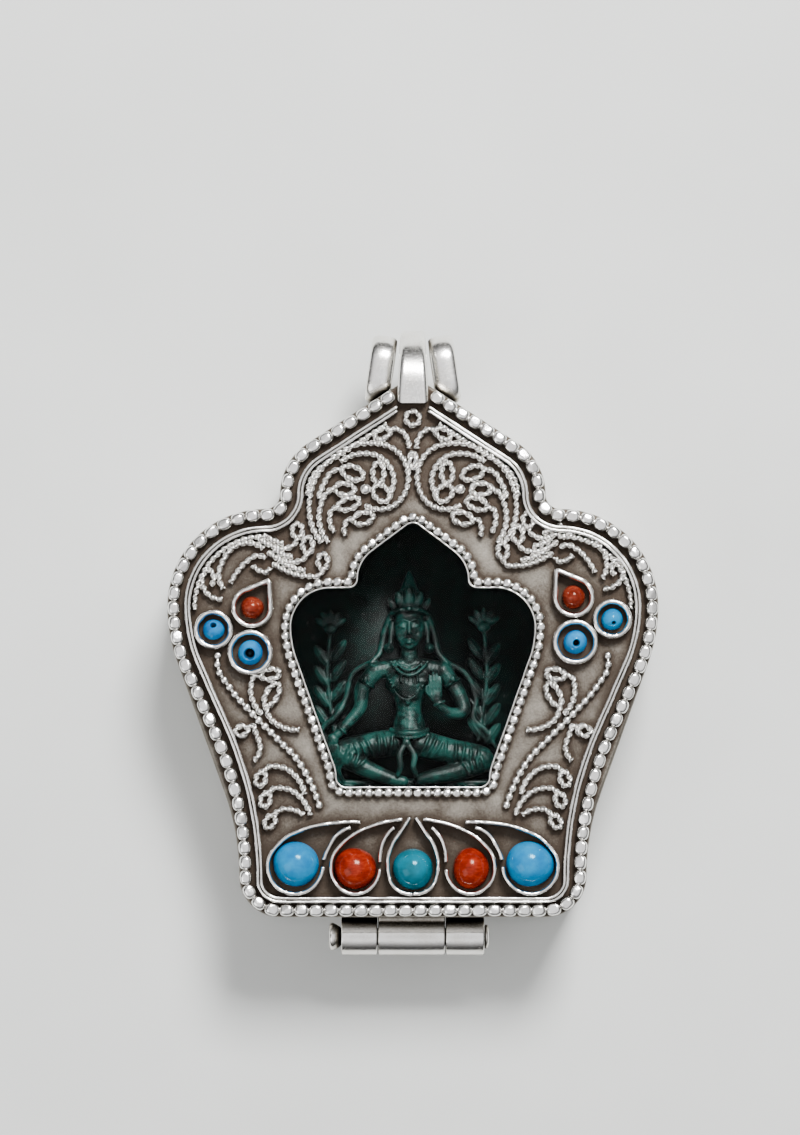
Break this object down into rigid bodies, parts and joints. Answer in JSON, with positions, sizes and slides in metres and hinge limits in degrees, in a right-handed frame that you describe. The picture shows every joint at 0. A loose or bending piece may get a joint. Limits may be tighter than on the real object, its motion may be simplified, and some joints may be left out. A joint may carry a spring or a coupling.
{
  "type": "amulet box",
  "caption": "Lobed silver amulet box with a hinged filigree lid, set stones, a window over a carved seated figure, and a bail for a neck cord.",
  "frame": {"origin": "on the flat back, under the middle of the box from hinge to bail", "axes": "+X to the wearer's left, which is the right of the front view, +Y from the hinge to the bail, +Z out of the front"},
  "size_m": [0.0422, 0.054, 0.0137],
  "materials": {
    "wall_silver": "worn silver sheet with fine scratches",
    "face_silver": "oxidised silver ground",
    "hinge_silver": "worn silver",
    "bail_silver": "polished worn silver",
    "bead_silver": "polished beads with dark recesses",
    "fence_silver": "polished top edge with dark sides",
    "filigree_silver": "twisted wire, bright on top and oxidised below",
    "bezel_silver": "worn silver strip",
    "turquoise": "polished",
    "coral": "polished",
    "carved_stone": "satin carved",
    "pane_glass": "clear, scuffed"
  },
  "bodies": {
    "case": {"back_plate": "wall_silver", "case_wall": "wall_silver", "inner_collar": "wall_silver", "figure_plaque": "carved_stone", "hinge_knuckle_left": "hinge_silver", "hinge_knuckle_right": "hinge_silver", "hinge_pin": "hinge_silver", "bail_ring_left": "bail_silver", "bail_ring_right": "bail_silver"},
    "lid": {"lid_wall": "wall_silver", "face_plate": "face_silver", "window_pane": "pane_glass", "pane_clips": "wall_silver", "lid_knuckle": "hinge_silver", "bail_strap": "bail_silver", "rim_bead_wire": "bead_silver", "window_bead_wire": "bead_silver", "fence_strip_outer": "fence_silver", "fence_strip_inner": "fence_silver", "crown_eyelet": "filigree_silver", "crown_granules": "filigree_silver", "base_centre_turquoise": "turquoise", "petal_bezel_centre": "bezel_silver", "bead_chain_left": "bead_silver", "filigree_crown_left": "filigree_silver", "filigree_shoulder_left": "filigree_silver", "filigree_flank_left": "filigree_silver", "shoulder_coral_left": "coral", "shoulder_coral_left_cup": "bezel_silver", "shoulder_outer_turquoise_left": "turquoise", "shoulder_outer_turquoise_left_cup": "bezel_silver", "shoulder_inner_turquoise_left": "turquoise", "shoulder_inner_turquoise_left_cup": "bezel_silver", "base_outer_turquoise_left": "turquoise", "base_coral_left": "coral", "petal_bezel_outer_left": "bezel_silver", "petal_bezel_coral_left": "bezel_silver", "bead_chain_right": "bead_silver", "filigree_crown_right": "filigree_silver", "filigree_shoulder_right": "filigree_silver", "filigree_flank_right": "filigree_silver", "shoulder_coral_right": "coral", "shoulder_coral_right_cup": "bezel_silver", "shoulder_outer_turquoise_right": "turquoise", "shoulder_outer_turquoise_right_cup": "bezel_silver", "shoulder_inner_turquoise_right": "turquoise", "shoulder_inner_turquoise_right_cup": "bezel_silver", "base_outer_turquoise_right": "turquoise", "base_coral_right": "coral", "petal_bezel_outer_right": "bezel_silver", "petal_bezel_coral_right": "bezel_silver"}
  },
  "joints": [
    {"name": "lid_hinge", "type": "hinge", "parent": "case", "child": "lid", "pos_m": [0, -0.02543, 0.00705], "axis": [1, 0, 0], "range_deg": [0, 180]}
  ]
}
